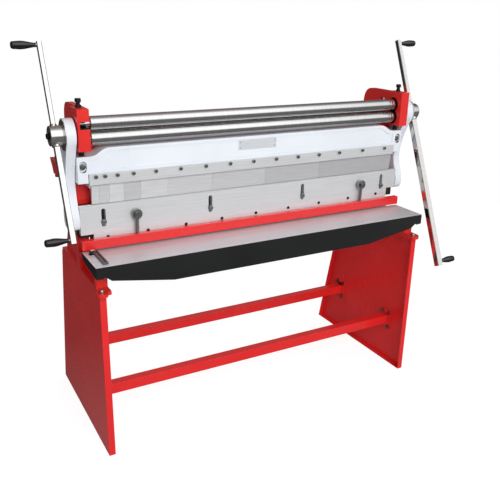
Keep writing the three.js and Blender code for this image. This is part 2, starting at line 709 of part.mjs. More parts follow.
// A block that slides up and down in the web's slot, with a cheek on each side of the web.
function bendingSlide(at) {
  const z0 = BENDING_Z - SLIDE.below;
  const z1 = z0 + SLIDE.high;
  const wide = SLIDE.half - GAP;
  const cheek = wide + 6;
  const inside = HALF_SPAN - 8;
  const outside = HALF_SPAN + WEB_THICK + SLIDE.flange;
  return cut(
    join(
      block(at * inside, at * outside, BENDING_Y - wide, BENDING_Y + wide, z0, z1),
      block(at * inside, at * (HALF_SPAN - 2), BENDING_Y - cheek, BENDING_Y + cheek, z0, z1),
      block(at * (outside - SLIDE.flange + 1), at * outside, BENDING_Y - cheek, BENDING_Y + cheek, z0, z1),
    ),
    rodX(BENDING_JOURNAL_R + RUN, at * (inside - 1), at * (outside - SLIDE.flange + 1), BENDING_Y, BENDING_Z),
  );
}

function tieBar() {
  const half = HALF_SPAN - GAP;
  return block(-half, half, COLUMN_FRONT + 4, COLUMN_FRONT + 16, BEAM_CREST - 45, BEAM_CREST + 18);
}

// ---------------------------------------------------------------- connecting arms
// The arm hangs from the eccentric sleeve and drives the ram by a pin. Its eye is a slot, because the
// sleeve swings to the rear by the throw while the arm stays upright.
function connectingArm(at) {
  const mid = ROLL_Y + 7.5;
  const eyeR = EYE_HALF + EYE_WALL;
  const foot = PIN_Z - 34;
  const shape = new THREE.Shape();
  shape.moveTo(mid + eyeR, HUB_Z);
  shape.absarc(mid, HUB_Z, eyeR, 0, Math.PI + 0.68, false);
  shape.bezierCurveTo(mid - 22, HUB_Z - 70, mid + 7, HUB_Z - 130, mid + 9, HUB_Z - 188);
  shape.bezierCurveTo(mid + 9, HUB_Z - 238, PIN_Y - 45, HUB_Z - 268, PIN_Y - 45, PIN_Z);
  shape.quadraticCurveTo(PIN_Y - 45, foot, PIN_Y - 20, foot);
  shape.lineTo(PIN_Y + 22, foot);
  shape.quadraticCurveTo(PIN_Y + 50, foot, PIN_Y + 50, PIN_Z);
  shape.bezierCurveTo(PIN_Y + 50, HUB_Z - 268, mid + 58, HUB_Z - 238, mid + 58, HUB_Z - 188);
  shape.bezierCurveTo(mid + 58, HUB_Z - 120, mid + eyeR, HUB_Z - 60, mid + eyeR, HUB_Z);
  const eye = new THREE.Shape();
  eye.absarc(ROLL_Y, HUB_Z, EYE_HALF, Math.PI / 2, (3 * Math.PI) / 2, false);
  eye.absarc(ROLL_Y + EYE_SHIFT, HUB_Z, EYE_HALF, -Math.PI / 2, Math.PI / 2, false);
  return cut(
    plateX(shape, at * ARM_IN, at * ARM_OUT, 10),
    plateX(eye, at * (ARM_IN - 1), at * (ARM_OUT + 1), 14),
    rodX(PIN_R + GAP, at * (ARM_IN - 1), at * (ARM_OUT + 1), PIN_Y, PIN_Z),
  );
}

const armPin = (at) => rodX(PIN_R, at * (FRAME_OUT - 19), at * (ARM_OUT + 4), PIN_Y, PIN_Z);

// ---------------------------------------------------------------- crank, in the lower roll's axis frame
// The hub is bored off centre: its inner end is the eccentric sleeve in the arm's eye.
const LEVER_UP = new THREE.Vector3(0, Math.sin(LEVER_LEAN), Math.cos(LEVER_LEAN));

function onLever(at, distance) {
  const p = LEVER_UP.clone().multiplyScalar(distance);
  return [at * LEVER_X, p.y, p.z + THROW];
}

function crankHub(at) {
  const holes = [1, -1].map((way) =>
    rod(SPIGOT.r + GAP, onLever(at, way * (HUB_R - SPIGOT.deep - GAP)), onLever(at, way * (HUB_R + 5)), 16),
  );
  return cut(
    join(
      rodX(SLEEVE_R, at * (ARM_IN - 2), at * (HUB_IN + 1), 0, THROW, 40),
      rodX(FLANGE_R, at * (ARM_OUT + GAP), at * HUB_IN, 0, THROW, 40),
      rodX(HUB_R, at * (HUB_IN - 1), at * HUB_OUT, 0, THROW, 40),
      rodX(10, at * (HUB_OUT - 1), at * (HUB_OUT + 9), 0, THROW, 6),
    ),
    rodX(JOURNAL_R + GAP, at * (ARM_IN - 3), at * (JOURNAL_END + GAP), 0, 0),
    ...holes,
  );
}

// A square bar with a round spigot in the hub and a pin for the grip near its far end.
function leverBar(at, way, { side, long }) {
  const chamfer = 2;
  const h = side / 2;
  const shape = outline([
    [-h, -h + chamfer],
    [-h + chamfer, -h],
    [h - chamfer, -h],
    [h, -h + chamfer],
    [h, h - chamfer],
    [h - chamfer, h],
    [-h + chamfer, h],
    [-h, h - chamfer],
  ]);
  const start = HUB_R + GAP;
  const geometry = extrude(shape, long - start);
  geometry.translate(0, 0, start);
  geometry.rotateX(way > 0 ? -LEVER_LEAN : Math.PI - LEVER_LEAN);
  geometry.translate(at * LEVER_X, 0, THROW);
  const gripAt = onLever(at, way * (long - side * 0.7));
  return join(
    solid(geometry),
    rod(SPIGOT.r, onLever(at, way * (HUB_R - SPIGOT.deep)), onLever(at, way * (start + 2)), 16),
    rodX(GRIP.pinR, at * LEVER_X, at * (LEVER_X + h + GRIP.pinLong), gripAt[1], gripAt[2], 12),
  );
}

// A tapered hand grip that turns on the lever's pin, narrow end towards the lever.
function grip(at, way, lever) {
  const start = LEVER_X + lever.side / 2 + GAP;
  const end = GRIP_END;
  const long = end - start;
  const [, y, z] = onLever(at, way * (lever.long - lever.side * 0.7));
  const profile = [
    [start, 0],
    [start, GRIP.thinR],
    [start + long * 0.12, GRIP.thinR],
    [start + long * 0.55, GRIP.fatR - 1.5],
    [start + long * 0.82, GRIP.fatR],
    [end - 4, GRIP.fatR - 2],
    [end, GRIP.fatR - 6],
    [end, 0],
  ];
  const placed = profile.map(([x, r]) => [at * x, r]);
  const made = turned(at > 0 ? placed : placed.reverse(), 20);
  const bore = rodX(GRIP.pinR + RUN, at * (start - 1), at * (start + GRIP.pinLong + 1), 0, 0, 16);
  return { made: cut(made, bore), y, z };
}

// ---------------------------------------------------------------- adjusting screws
const topScrew = (at) =>
  join(
    rodZ(11, FRAME_TOP + GAP, FRAME_TOP + SCREW.head, at * SCREW.x, ROLL_Y, 6),
    rodZ(SCREW.r, FRAME_TOP - 31, FRAME_TOP + 2, at * SCREW.x, ROLL_Y, 16),
  );

const jackScrew = (at) =>
  join(
    rodZ(10, BEAM_LUG.top + 2 * GAP, BEAM_LUG.top + 14, at * SCREW.x, ROLL_Y, 6),
    rodZ(SCREW.r, BEAM_LUG.top + 3, HOUSING_BOTTOM + 12, at * SCREW.x, ROLL_Y, 16),
  );

const rearScrew = (at) =>
  join(
    rodZ(12, REAR_LUG.bottom - 20, REAR_LUG.bottom - GAP, at * REAR_SCREW.x, REAR_SCREW.y, 6),
    rodZ(REAR_SCREW.r, REAR_LUG.bottom - 2, REAR_LUG.top + 12, at * REAR_SCREW.x, REAR_SCREW.y, 16),
  );

// ---------------------------------------------------------------- assembly
piece("front_cross_bar", crossBar(FRONT_BAR), RED);
piece("rear_cross_bar", crossBar(REAR_BAR), RED);
piece("bed_table", bedTable(), BLACK);
piece("lower_blade", lowerBlade(), GROUND);
piece("side_gauge", sideGauge(), DARK_STEEL);
piece("upper_beam", upperBeam(), WHITE);
piece("name_plate", namePlate(), ALLOY);
piece("clamp_bar", clampBar(), GROUND);
piece("ram_beam", ramBeam(), DARK_STEEL);
piece("die_plate", diePlate(), GROUND);
piece("upper_blade", upperBlade(), GROUND);
piece("hold_down_bar", holdDownBar(), RED);
piece("roll_tie_bar", tieBar(), RED);
piece("lower_roll", lowerRollSolid(), CHROME, crank);
piece("lower_roll_gear", rollGear(Math.PI / 2), DARK_STEEL, crank);
piece("upper_roll", upperRollSolid(), CHROME, upperRoll);
piece("upper_roll_gear", rollGear(Math.PI / 2 + Math.PI / GEAR_TEETH), DARK_STEEL, upperRoll);
piece("bending_roll", bendingRollSolid(), CHROME, bendingRoll);

const lastFinger = FINGER_RIGHT - FINGER_LEFT - NARROW_FINGERS.reduce((sum, width) => sum + width, 0);
[...NARROW_FINGERS, lastFinger].reduce((x, width, i) => {
  piece(`finger_die_${i + 1}`, finger(x, x + width), GROUND);
  return x + width;
}, FINGER_LEFT);

for (const { name, at } of SIDES) {
  const upper = UPPER_ARM[name];
  const lower = LOWER_LEVER[name];
  piece(`stand_panel_${name}`, standPanel(at), RED);
  piece(`side_frame_${name}`, sideFrame(at), RED);
  piece(`beam_bolt_${name}`, beamBolt(at), DARK_STEEL);
  piece(`hold_down_post_${name}`, holdDownPost(at), DARK_STEEL);
  piece(`hold_down_bolt_${name}`, holdDownBolt(at), DARK_STEEL);
  piece(`connecting_arm_${name}`, connectingArm(at), WHITE);
  piece(`arm_pin_${name}`, armPin(at), DARK_STEEL);
  piece(`bending_roll_slide_${name}`, bendingSlide(at), DARK_STEEL);
  piece(`top_screw_${name}`, topScrew(at), DARK_STEEL);
  piece(`jack_screw_${name}`, jackScrew(at), DARK_STEEL);
  piece(`rear_screw_${name}`, rearScrew(at), DARK_STEEL);
  piece(`crank_hub_${name}`, crankHub(at), CHROME, crank);
  piece(`upper_arm_${name}`, leverBar(at, 1, upper), CHROME, crank);
  piece(`lower_lever_${name}`, leverBar(at, -1, lower), CHROME, crank);
  for (const [place, way, bar] of [["upper", 1, upper], ["lower", -1, lower]]) {
    const { made, y, z } = grip(at, way, bar);
    const holder = new THREE.Group();
    holder.position.set(0, y, z);
    crank.add(holder);
    piece(`${place}_grip_${name}`, made, PLASTIC, holder);
  }
}

// The footprint runs from the front of the right lever's grip to the foot of the stand.
const lowGrip = onLever(1, -(LOWER_LEVER.right.long - LOWER_LEVER.right.side * 0.7));
const footprintFront = ROLL_Y + lowGrip[1] - GRIP.fatR;
machine.position.y = -(footprintFront + STAND_FOOT_DEEP) / 2;

const part = new THREE.Group();
part.add(machine);
export default part;
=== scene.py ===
"""Looks of a hand-cranked sheet metal machine: shear table, finger brake and slip rolls on a stand.

Metres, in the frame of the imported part: +X along the machine, +Y to the rear, +Z up, origin on the floor.
"""

import json
import math

import bpy
from mathutils import Matrix, Vector


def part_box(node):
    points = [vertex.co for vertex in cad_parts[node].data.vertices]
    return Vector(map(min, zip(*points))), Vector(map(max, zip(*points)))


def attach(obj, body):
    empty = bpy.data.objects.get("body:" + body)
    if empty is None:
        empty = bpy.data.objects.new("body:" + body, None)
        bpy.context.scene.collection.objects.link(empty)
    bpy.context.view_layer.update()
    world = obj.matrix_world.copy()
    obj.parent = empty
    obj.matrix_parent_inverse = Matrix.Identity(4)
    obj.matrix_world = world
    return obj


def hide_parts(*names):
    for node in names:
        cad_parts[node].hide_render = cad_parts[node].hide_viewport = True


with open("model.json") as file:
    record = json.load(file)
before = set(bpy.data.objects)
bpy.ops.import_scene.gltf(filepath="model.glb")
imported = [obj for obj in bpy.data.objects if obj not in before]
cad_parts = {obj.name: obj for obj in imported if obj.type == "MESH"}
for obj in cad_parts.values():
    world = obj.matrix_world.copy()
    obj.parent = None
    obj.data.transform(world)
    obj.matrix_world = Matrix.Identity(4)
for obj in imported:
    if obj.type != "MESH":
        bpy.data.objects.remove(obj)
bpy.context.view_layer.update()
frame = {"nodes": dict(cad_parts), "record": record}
bpy.ops.object.select_all(action="DESELECT")

scene = bpy.context.scene
record = frame["record"]
BODY_OF = {node: body for body, nodes in record["behaviour"]["bodies"].items() for node in nodes}
SIDES = (("left", -1), ("right", 1))
MM = 0.001


def low(node):
    return Vector(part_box(node)[0])


def high(node):
    return Vector(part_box(node)[1])


def middle(node):
    return (low(node) + high(node)) / 2


STAND_FRONT = low("stand_panel_left").y
TABLE_TOP = high("bed_table").z
ROLL_Y = middle("lower_roll").y


# ---------------------------------------------------------------- camera, floor and light
CAMERA_PLACE = Vector((-1.2647, STAND_FRONT - 2.0225, 1.585))
CAMERA_YAW = math.radians(29.34)
CAMERA_PITCH = math.radians(19.98)
CAMERA_ROLL = math.radians(1.24)
LENS_MM = 47.0


def set_camera():
    data = bpy.data.cameras.new("camera")
    data.lens = LENS_MM
    data.sensor_width = 36.0
    camera = bpy.data.objects.new("camera", data)
    turn = (
        Matrix.Rotation(-CAMERA_YAW, 4, "Z")
        @ Matrix.Rotation(math.pi / 2 - CAMERA_PITCH, 4, "X")
        @ Matrix.Rotation(CAMERA_ROLL, 4, "Z")
    )
    camera.matrix_world = Matrix.Translation(CAMERA_PLACE) @ turn
    scene.collection.objects.link(camera)
    scene.camera = camera
    scene.view_settings.view_transform = "Standard"


def soft_box(name, place, target, size, watts):
    data = bpy.data.lights.new(name, "AREA")
    data.shape = "DISK"
    data.size = size
    data.energy = watts
    lamp = bpy.data.objects.new(name, data)
    lamp.location = place
    lamp.rotation_euler = (Vector(target) - Vector(place)).to_track_quat("-Z", "Y").to_euler()
    lamp.visible_glossy = False
    scene.collection.objects.link(lamp)


def ramp(nodes, stops):
    node = nodes.new("ShaderNodeValToRGB")
    node.color_ramp.elements[0].position = stops[0][0]
    node.color_ramp.elements[0].color = (*stops[0][1], 1)
    node.color_ramp.elements[1].position = stops[-1][0]
    node.color_ramp.elements[1].color = (*stops[-1][1], 1)
    for position, colour in stops[1:-1]:
        node.color_ramp.elements.new(position).color = (*colour, 1)
    return node


def math_node(nodes, links, operation, first, second):
    node = nodes.new("ShaderNodeMath")
    node.operation = operation
    for socket, value in zip(node.inputs, (first, second)):
        if isinstance(value, (int, float)):
            socket.default_value = value
        else:
            links.new(value, socket)
    return node.outputs[0]


def span_node(nodes, links, value, low_end, high_end):
    node = nodes.new("ShaderNodeMapRange")
    node.inputs["From Min"].default_value = low_end
    node.inputs["From Max"].default_value = high_end
    links.new(value, node.inputs["Value"])
    return node.outputs["Result"]


def grey(level):
    return (level, level, level)


# What gloss sees, by the angle climbed from the floor in front (0) over the top (90) to the rear (180).
BAND = (
    (-180, grey(0.05)),
    (-100, grey(0.16)),
    (-12, grey(0.16)),
    (-3, grey(0.24)),
    (5, grey(0.7)),
    (12, grey(1.0)),
    (56, grey(1.0)),
    (72, grey(0.62)),
    (88, (0.26, 0.25, 0.25)),
    (118, (0.15, 0.125, 0.12)),
    (158, (0.15, 0.12, 0.11)),
    (180, grey(0.05)),
)


# How gloss fades from left (0) to right (1), and how bright the room is over the same span.
ACROSS = ((0.0, grey(0.16)), (0.3, grey(0.2)), (0.48, grey(1.0)), (0.72, grey(1.0)), (0.92, grey(0.45)))
ROOM_LIGHT = ((0.0, grey(0.42)), (0.5, grey(0.55)), (1.0, grey(0.66)))
GLOSS_STRENGTH = 1.7

# The floor as the eye sees it (paper plus glow), as it lights the machine, and from front to rear in gloss.
PAPER_GREY = 0.25
PAPER_GLOW = 0.86
FLOOR_GREY = 0.7
FLOOR_IN_GLOSS = ((0.0, grey(0.2)), (0.45, grey(0.16)), (0.62, grey(0.05)), (1.0, grey(0.04)))


def set_world():
    """A white room to the eye; gloss sees a broad bright panel in front, a floor and a dark rear."""
    world = bpy.data.worlds.new("studio")
    scene.world = world
    world.use_nodes = True
    nodes, links = world.node_tree.nodes, world.node_tree.links
    nodes.clear()
    direction = nodes.new("ShaderNodeTexCoord")
    parts = nodes.new("ShaderNodeSeparateXYZ")
    links.new(direction.outputs["Generated"], parts.inputs[0])
    frontward = math_node(nodes, links, "MULTIPLY", parts.outputs["Y"], -1.0)
    climb = math_node(nodes, links, "ARCTAN2", parts.outputs["Z"], frontward)
    turn = span_node(nodes, links, climb, -math.pi, math.pi)
    band = ramp(nodes, [((angle + 180) / 360, colour) for angle, colour in BAND])
    links.new(turn, band.inputs["Fac"])
    to_left = ramp(nodes, ACROSS)
    links.new(span_node(nodes, links, parts.outputs["X"], -1, 1), to_left.inputs["Fac"])
    glossy = nodes.new("ShaderNodeMix")
    glossy.data_type = "RGBA"
    glossy.blend_type = "MULTIPLY"
    glossy.inputs["Factor"].default_value = 1.0
    links.new(band.outputs["Color"], glossy.inputs["A"])
    links.new(to_left.outputs["Color"], glossy.inputs["B"])
    seen_in_gloss = nodes.new("ShaderNodeBackground")
    seen_in_gloss.inputs["Strength"].default_value = GLOSS_STRENGTH
    links.new(glossy.outputs["Result"], seen_in_gloss.inputs["Color"])
    side_light = ramp(nodes, ROOM_LIGHT)
    links.new(span_node(nodes, links, parts.outputs["X"], -1, 1), side_light.inputs["Fac"])
    room = nodes.new("ShaderNodeBackground")
    links.new(side_light.outputs["Color"], room.inputs["Color"])
    white = nodes.new("ShaderNodeBackground")
    white.inputs["Color"].default_value = (1, 1, 1, 1)
    path = nodes.new("ShaderNodeLightPath")
    lit = nodes.new("ShaderNodeMixShader")
    links.new(path.outputs["Is Glossy Ray"], lit.inputs["Fac"])
    links.new(room.outputs[0], lit.inputs[1])
    links.new(seen_in_gloss.outputs[0], lit.inputs[2])
    choose = nodes.new("ShaderNodeMixShader")
    links.new(path.outputs["Is Camera Ray"], choose.inputs["Fac"])
    links.new(lit.outputs[0], choose.inputs[1])
    links.new(white.outputs[0], choose.inputs[2])
    out = nodes.new("ShaderNodeOutputWorld")
    links.new(choose.outputs[0], out.inputs["Surface"])


def set_floor():
    """Pale paper that keeps a faint contact shadow and looks dim in gloss."""
    bpy.ops.mesh.primitive_plane_add(size=60, location=(0, 0, -0.5 * MM))
    floor = bpy.context.object
    floor.name = "floor"
    material = bpy.data.materials.new("floor_paper")
    material.use_nodes = True
    nodes, links = material.node_tree.nodes, material.node_tree.links
    nodes.clear()
    paper = nodes.new("ShaderNodeBsdfDiffuse")
    paper.inputs["Color"].default_value = (*grey(PAPER_GREY), 1)
    glow = nodes.new("ShaderNodeEmission")
    glow.inputs["Strength"].default_value = PAPER_GLOW
    bright = nodes.new("ShaderNodeAddShader")
    links.new(paper.outputs[0], bright.inputs[0])
    links.new(glow.outputs[0], bright.inputs[1])
    place = nodes.new("ShaderNodeTexCoord")
    parts = nodes.new("ShaderNodeSeparateXYZ")
    links.new(place.outputs["Object"], parts.inputs[0])
    depth = ramp(nodes, FLOOR_IN_GLOSS)
    links.new(span_node(nodes, links, parts.outputs["Y"], -3, 3), depth.inputs["Fac"])
    dim = nodes.new("ShaderNodeEmission")
    links.new(depth.outputs["Color"], dim.inputs["Color"])
    matt = nodes.new("ShaderNodeBsdfDiffuse")
    matt.inputs["Color"].default_value = (*grey(FLOOR_GREY), 1)
    path = nodes.new("ShaderNodeLightPath")
    seen = nodes.new("ShaderNodeMixShader")
    links.new(path.outputs["Is Camera Ray"], seen.inputs["Fac"])
    links.new(matt.outputs[0], seen.inputs[1])
    links.new(bright.outputs[0], seen.inputs[2])
    choose = nodes.new("ShaderNodeMixShader")
    links.new(path.outputs["Is Glossy Ray"], choose.inputs["Fac"])
    links.new(seen.outputs[0], choose.inputs[1])
    links.new(dim.outputs[0], choose.inputs[2])
    out = nodes.new("ShaderNodeOutputMaterial")
    links.new(choose.outputs[0], out.inputs["Surface"])
    floor.data.materials.append(material)
    bpy.ops.object.select_all(action="DESELECT")


def set_studio():
    set_world()
    set_floor()
    soft_box("front_soft_box", (-0.6, -5.0, 3.4), (0, 0, 0.8), 2.6, 195)


# ---------------------------------------------------------------- finishes
def linear(*levels):
    """A colour given as 0 to 255 screen levels."""
    return tuple(((v / 255 + 0.055) / 1.055) ** 2.4 if v > 10 else v / 255 / 12.92 for v in levels) + (1.0,)


def new_group(name, inputs, outputs):
    group = bpy.data.node_groups.new(name, "ShaderNodeTree")
    for title, kind, value in inputs:
        socket = group.interface.new_socket(title, in_out="INPUT", socket_type=kind)
        socket.default_value = value
    for title in outputs:
        group.interface.new_socket(title, in_out="OUTPUT", socket_type="NodeSocketFloat")
    return group, group.nodes.new("NodeGroupInput"), group.nodes.new("NodeGroupOutput")


def make_streaks():
    """Fine parallel marks: noise on the surface, packed together along each axis by Packing."""
    group, given, result = new_group(
        "tool_streaks",
        [("Packing", "NodeSocketVector", (1, 1, 1)), ("Contrast", "NodeSocketFloat", 1.0)],
        ["Streaks"],
    )
    place = group.nodes.new("ShaderNodeTexCoord")
    pack = group.nodes.new("ShaderNodeVectorMath")
    pack.operation = "MULTIPLY"
    noise = group.nodes.new("ShaderNodeTexNoise")
    noise.inputs["Scale"].default_value = 1.0
    noise.inputs["Detail"].default_value = 4.0
    centre = group.nodes.new("ShaderNodeMath")
    centre.operation = "SUBTRACT"
    centre.inputs[1].default_value = 0.5
    spread = group.nodes.new("ShaderNodeMath")
    spread.operation = "MULTIPLY_ADD"
    spread.inputs[2].default_value = 0.5
    spread.use_clamp = True
    links = group.links
    links.new(place.outputs["Object"], pack.inputs[0])
    links.new(given.outputs["Packing"], pack.inputs[1])
    links.new(pack.outputs[0], noise.inputs["Vector"])
    links.new(noise.outputs["Fac"], centre.inputs[0])
    links.new(centre.outputs[0], spread.inputs[0])
    links.new(given.outputs["Contrast"], spread.inputs[1])
    links.new(spread.outputs[0], result.inputs["Streaks"])
    return group


def make_clouds():
    """Broad soft patches and a fine orange-peel height."""
    group, given, result = new_group(
        "surface_clouds",
        [("Patch Scale", "NodeSocketFloat", 4.0), ("Peel Scale", "NodeSocketFloat", 300.0)],
        ["Patches", "Peel"],
    )
    place = group.nodes.new("ShaderNodeTexCoord")
    links = group.links
    for scale, output, detail in (("Patch Scale", "Patches", 3.0), ("Peel Scale", "Peel", 2.0)):
        noise = group.nodes.new("ShaderNodeTexNoise")
        noise.inputs["Detail"].default_value = detail
        links.new(place.outputs["Object"], noise.inputs["Vector"])
        links.new(given.outputs[scale], noise.inputs["Scale"])
        links.new(noise.outputs["Fac"], result.inputs[output])
    return group


STREAKS = make_streaks()
CLOUDS = make_clouds()


def material_of(name, metallic, coat=0.0, coat_roughness=0.05):
    material = bpy.data.materials.new(name)
    material.use_nodes = True
    shader = material.node_tree.nodes["Principled BSDF"]
    shader.inputs["Metallic"].default_value = metallic
    shader.inputs["Coat Weight"].default_value = coat
    shader.inputs["Coat Roughness"].default_value = coat_roughness
    return material, shader


def effect(material, group, **values):
    node = material.node_tree.nodes.new("ShaderNodeGroup")
    node.node_tree = group
    for title, value in values.items():
        node.inputs[title.replace("_", " ")].default_value = value
    return node


def colour_between(material, shader, mask, dark, light):
    mix = material.node_tree.nodes.new("ShaderNodeMix")
    mix.data_type = "RGBA"
    mix.inputs["A"].default_value = dark
    mix.inputs["B"].default_value = light
    material.node_tree.links.new(mask, mix.inputs["Factor"])
    material.node_tree.links.new(mix.outputs["Result"], shader.inputs["Base Color"])


def roughness_between(material, shader, mask, smooth, rough):
    span = material.node_tree.nodes.new("ShaderNodeMapRange")
    span.inputs["From Min"].default_value = 0.3
    span.inputs["From Max"].default_value = 0.7
    span.inputs["To Min"].default_value = smooth
    span.inputs["To Max"].default_value = rough
    material.node_tree.links.new(mask, span.inputs["Value"])
    material.node_tree.links.new(span.outputs["Result"], shader.inputs["Roughness"])


def raise_by(material, shader, height, strength, depth):
    bump = material.node_tree.nodes.new("ShaderNodeBump")
    bump.inputs["Strength"].default_value = strength
    bump.inputs["Distance"].default_value = depth
    material.node_tree.links.new(height, bump.inputs["Height"])
    material.node_tree.links.new(bump.outputs["Normal"], shader.inputs["Normal"])


def enamel(name, deep, tone, smooth, rough, peel_scale, peel_depth):
    """Gloss paint: a little darker in patches, with orange peel or a casting's skin under it."""
    material, shader = material_of(name, 0.0, coat=0.35, coat_roughness=0.12)
    clouds = effect(material, CLOUDS, Patch_Scale=5.0, Peel_Scale=peel_scale)
    colour_between(material, shader, clouds.outputs["Patches"], deep, tone)
    roughness_between(material, shader, clouds.outputs["Patches"], smooth, rough)
    raise_by(material, shader, clouds.outputs["Peel"], 0.5, peel_depth)
    return material


def worked_steel(name, dark, light, smooth, rough, packing, depth, metallic=0.8, contrast=1.6):
    """Bare steel that shows the marks of the tool that finished it."""
    material, shader = material_of(name, metallic)
    streaks = effect(material, STREAKS, Packing=packing, Contrast=contrast)
    colour_between(material, shader, streaks.outputs["Streaks"], dark, light)
    roughness_between(material, shader, streaks.outputs["Streaks"], smooth, rough)
    raise_by(material, shader, streaks.outputs["Streaks"], 0.3, depth)
    return material


ALONG_X = (6, 420, 420)
ROUND_X = (900, 5, 5)
RED_CAST = enamel(
    "red_casting_enamel",
    linear(206, 30, 28),
    linear(232, 44, 38),
    0.26,
    0.4,
    90,
    0.35 * MM,
)
RED_SHEET = enamel(
    "red_sheet_enamel",
    linear(218, 32, 34),
    linear(238, 44, 44),
    0.2,
    0.3,
    260,
    0.06 * MM,
)
WHITE_CAST = enamel(
    "white_casting_enamel",
    linear(218, 224, 232),
    linear(234, 238, 244),
    0.25,
    0.38,
    90,
    0.3 * MM,
)
BLACK_CAST = enamel(
    "black_casting_enamel",
    linear(11, 12, 13),
    linear(20, 22, 23),
    0.4,
    0.55,
    120,
    0.3 * MM,
)
DIE_STEEL = worked_steel(
    "ground_die_steel",
    linear(214, 216, 218),
    linear(234, 236, 238),
    0.28,
    0.42,
    ALONG_X,
    0.02 * MM,
    0.35,
)
CLAMP_STEEL = worked_steel(
    "ground_clamp_steel",
    linear(208, 210, 212),
    linear(230, 232, 234),
    0.3,
    0.42,
    ALONG_X,
    0.02 * MM,
    0.35,
)
TABLE_STEEL = worked_steel(
    "planed_table_steel",
    linear(200, 200, 204),
    linear(226, 226, 230),
    0.4,
    0.55,
    (3, 260, 60),
    0.03 * MM,
    0.4,
    1.5,
)
ROLL_STEEL = worked_steel(
    "polished_roll_steel",
    linear(190, 190, 190),
    linear(214, 214, 214),
    0.13,
    0.2,
    ROUND_X,
    0.004 * MM,
    1.0,
)
CHROME = worked_steel(
    "chromed_lever_steel",
    linear(206, 204, 202),
    linear(222, 220, 218),
    0.05,
    0.11,
    (60, 60, 60),
    0.004 * MM,
    1.0,
)
ZINC = worked_steel(
    "zinc_plated_steel",
    linear(120, 122, 122),
    linear(176, 178, 176),
    0.22,
    0.4,
    (500, 500, 500),
    0.01 * MM,
    1.0,
)
GAUGE_STEEL = worked_steel(
    "worn_gauge_steel",
    linear(84, 78, 82),
    linear(128, 118, 122),
    0.35,
    0.5,
    (200, 8, 200),
    0.02 * MM,
    0.7,
)
BLACK_OXIDE = worked_steel(
    "blackened_steel",
    linear(34, 34, 36),
    linear(62, 62, 64),
    0.3,
    0.45,
    (400, 400, 400),
    0.02 * MM,
    0.8,
)
# Ram steel, coloured dark brown as painted shade for the recess behind the die plate.
RAM_STEEL_SHADED = worked_steel(
    "ram_steel_painted_shade",
    linear(52, 46, 40),
    linear(92, 84, 74),
    0.32,
    0.5,
    (8, 160, 160),
    0.05 * MM,
    0.8,
)
PHENOLIC = enamel("black_phenolic", linear(12, 12, 13), linear(20, 20, 22), 0.1, 0.18, 200, 0.03 * MM)
PLATE_ALLOY = worked_steel(
    "name_plate_alloy",
    linear(224, 227, 232),
    linear(238, 240, 244),
    0.3,
    0.4,
    ALONG_X,
    0.005 * MM,
    0.4,
)

# Fingers come out of the grinder one by one, so neighbours differ a little in tone; the ones toward the
# right end are also set darker as painted shade.
FINGER_TONES_AND_SHADE = (212, 206, 218, 200, 214, 208, 202, 192, 184)


def finger_steel(number):
    # tone holds the finger's own tone, plus painted shade toward the right end.
    tone = FINGER_TONES_AND_SHADE[number - 1]
    return worked_steel(
        f"ground_finger_steel_{number}",
        linear(tone, tone + 1, tone + 3),
        linear(tone + 18, tone + 19, tone + 21),
        0.3,
        0.44,
        (6 + number, 400, 380),
        0.02 * MM,
        0.3,
    )


# ---------------------------------------------------------------- bench work
def take(piece):
    bpy.ops.object.select_all(action="DESELECT")
    piece.select_set(True)
    bpy.context.view_layer.objects.active = piece


def apply(piece, kind, **settings):
    take(piece)
    modifier = piece.modifiers.new(kind.lower(), kind)
    for name, value in settings.items():
        setattr(modifier, name, value)
    bpy.ops.object.modifier_apply(modifier=modifier.name)


def smooth(piece, degrees=35):
    take(piece)
    bpy.ops.object.shade_smooth_by_angle(angle=math.radians(degrees))


# An edge shorter than this many bevel widths is left sharp.
SHORTEST_EASED = 2.4


def ease_edges(piece, width, segments=3, corner=28):
    """Rounds the long edges sharper than corner degrees, and keeps the flats flat in shading."""
    mesh = piece.data
    faces_at = {}
    for face in mesh.polygons:
        for key in face.edge_keys:
            faces_at.setdefault(key, []).append(face)
    weights = mesh.attributes.new("bevel_weight_edge", "FLOAT", "EDGE")
    for edge, key in zip(mesh.edges, mesh.edge_keys):
        first, second = (mesh.vertices[v].co for v in edge.vertices)
        long_enough = (first - second).length > SHORTEST_EASED * width
        faces = faces_at.get(key, [])
        sharp = len(faces) == 2 and faces[0].normal.angle(faces[1].normal) > math.radians(corner)
        weights.data[edge.index].value = 1.0 if long_enough and sharp else 0.0
    apply(
        piece,
        "BEVEL",
        width=width,
        segments=segments,
        limit_method="WEIGHT",
        use_clamp_overlap=True,
        loop_slide=True,
    )
    smooth(piece)
    apply(piece, "WEIGHTED_NORMAL", keep_sharp=True)


def finish(piece, node, material, replaced=False):
    """The piece takes the material and rides with node's body; it may stand for node altogether."""
    piece.data.materials.clear()
    piece.data.materials.append(material)
    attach(piece, BODY_OF[node])
    if replaced:
        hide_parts(node)
    return piece


def copy_of(node, name):
    mesh = frame["nodes"][node].data.copy()
    piece = bpy.data.objects.new(name, mesh)
    scene.collection.objects.link(piece)
    take(piece)
    bpy.ops.object.mode_set(mode="EDIT")
    bpy.ops.mesh.select_all(action="SELECT")
    bpy.ops.mesh.remove_doubles(threshold=0.02 * MM)
    bpy.ops.mesh.dissolve_limited(angle_limit=math.radians(0.6))
    bpy.ops.object.mode_set(mode="OBJECT")
    return piece


def eased(node, width, material, segments=3):
    """The CAD solid with whole flats and rounded edges."""
    piece = copy_of(node, node + "_finished")
    ease_edges(piece, width, segments)
    return finish(piece, node, material, replaced=True)


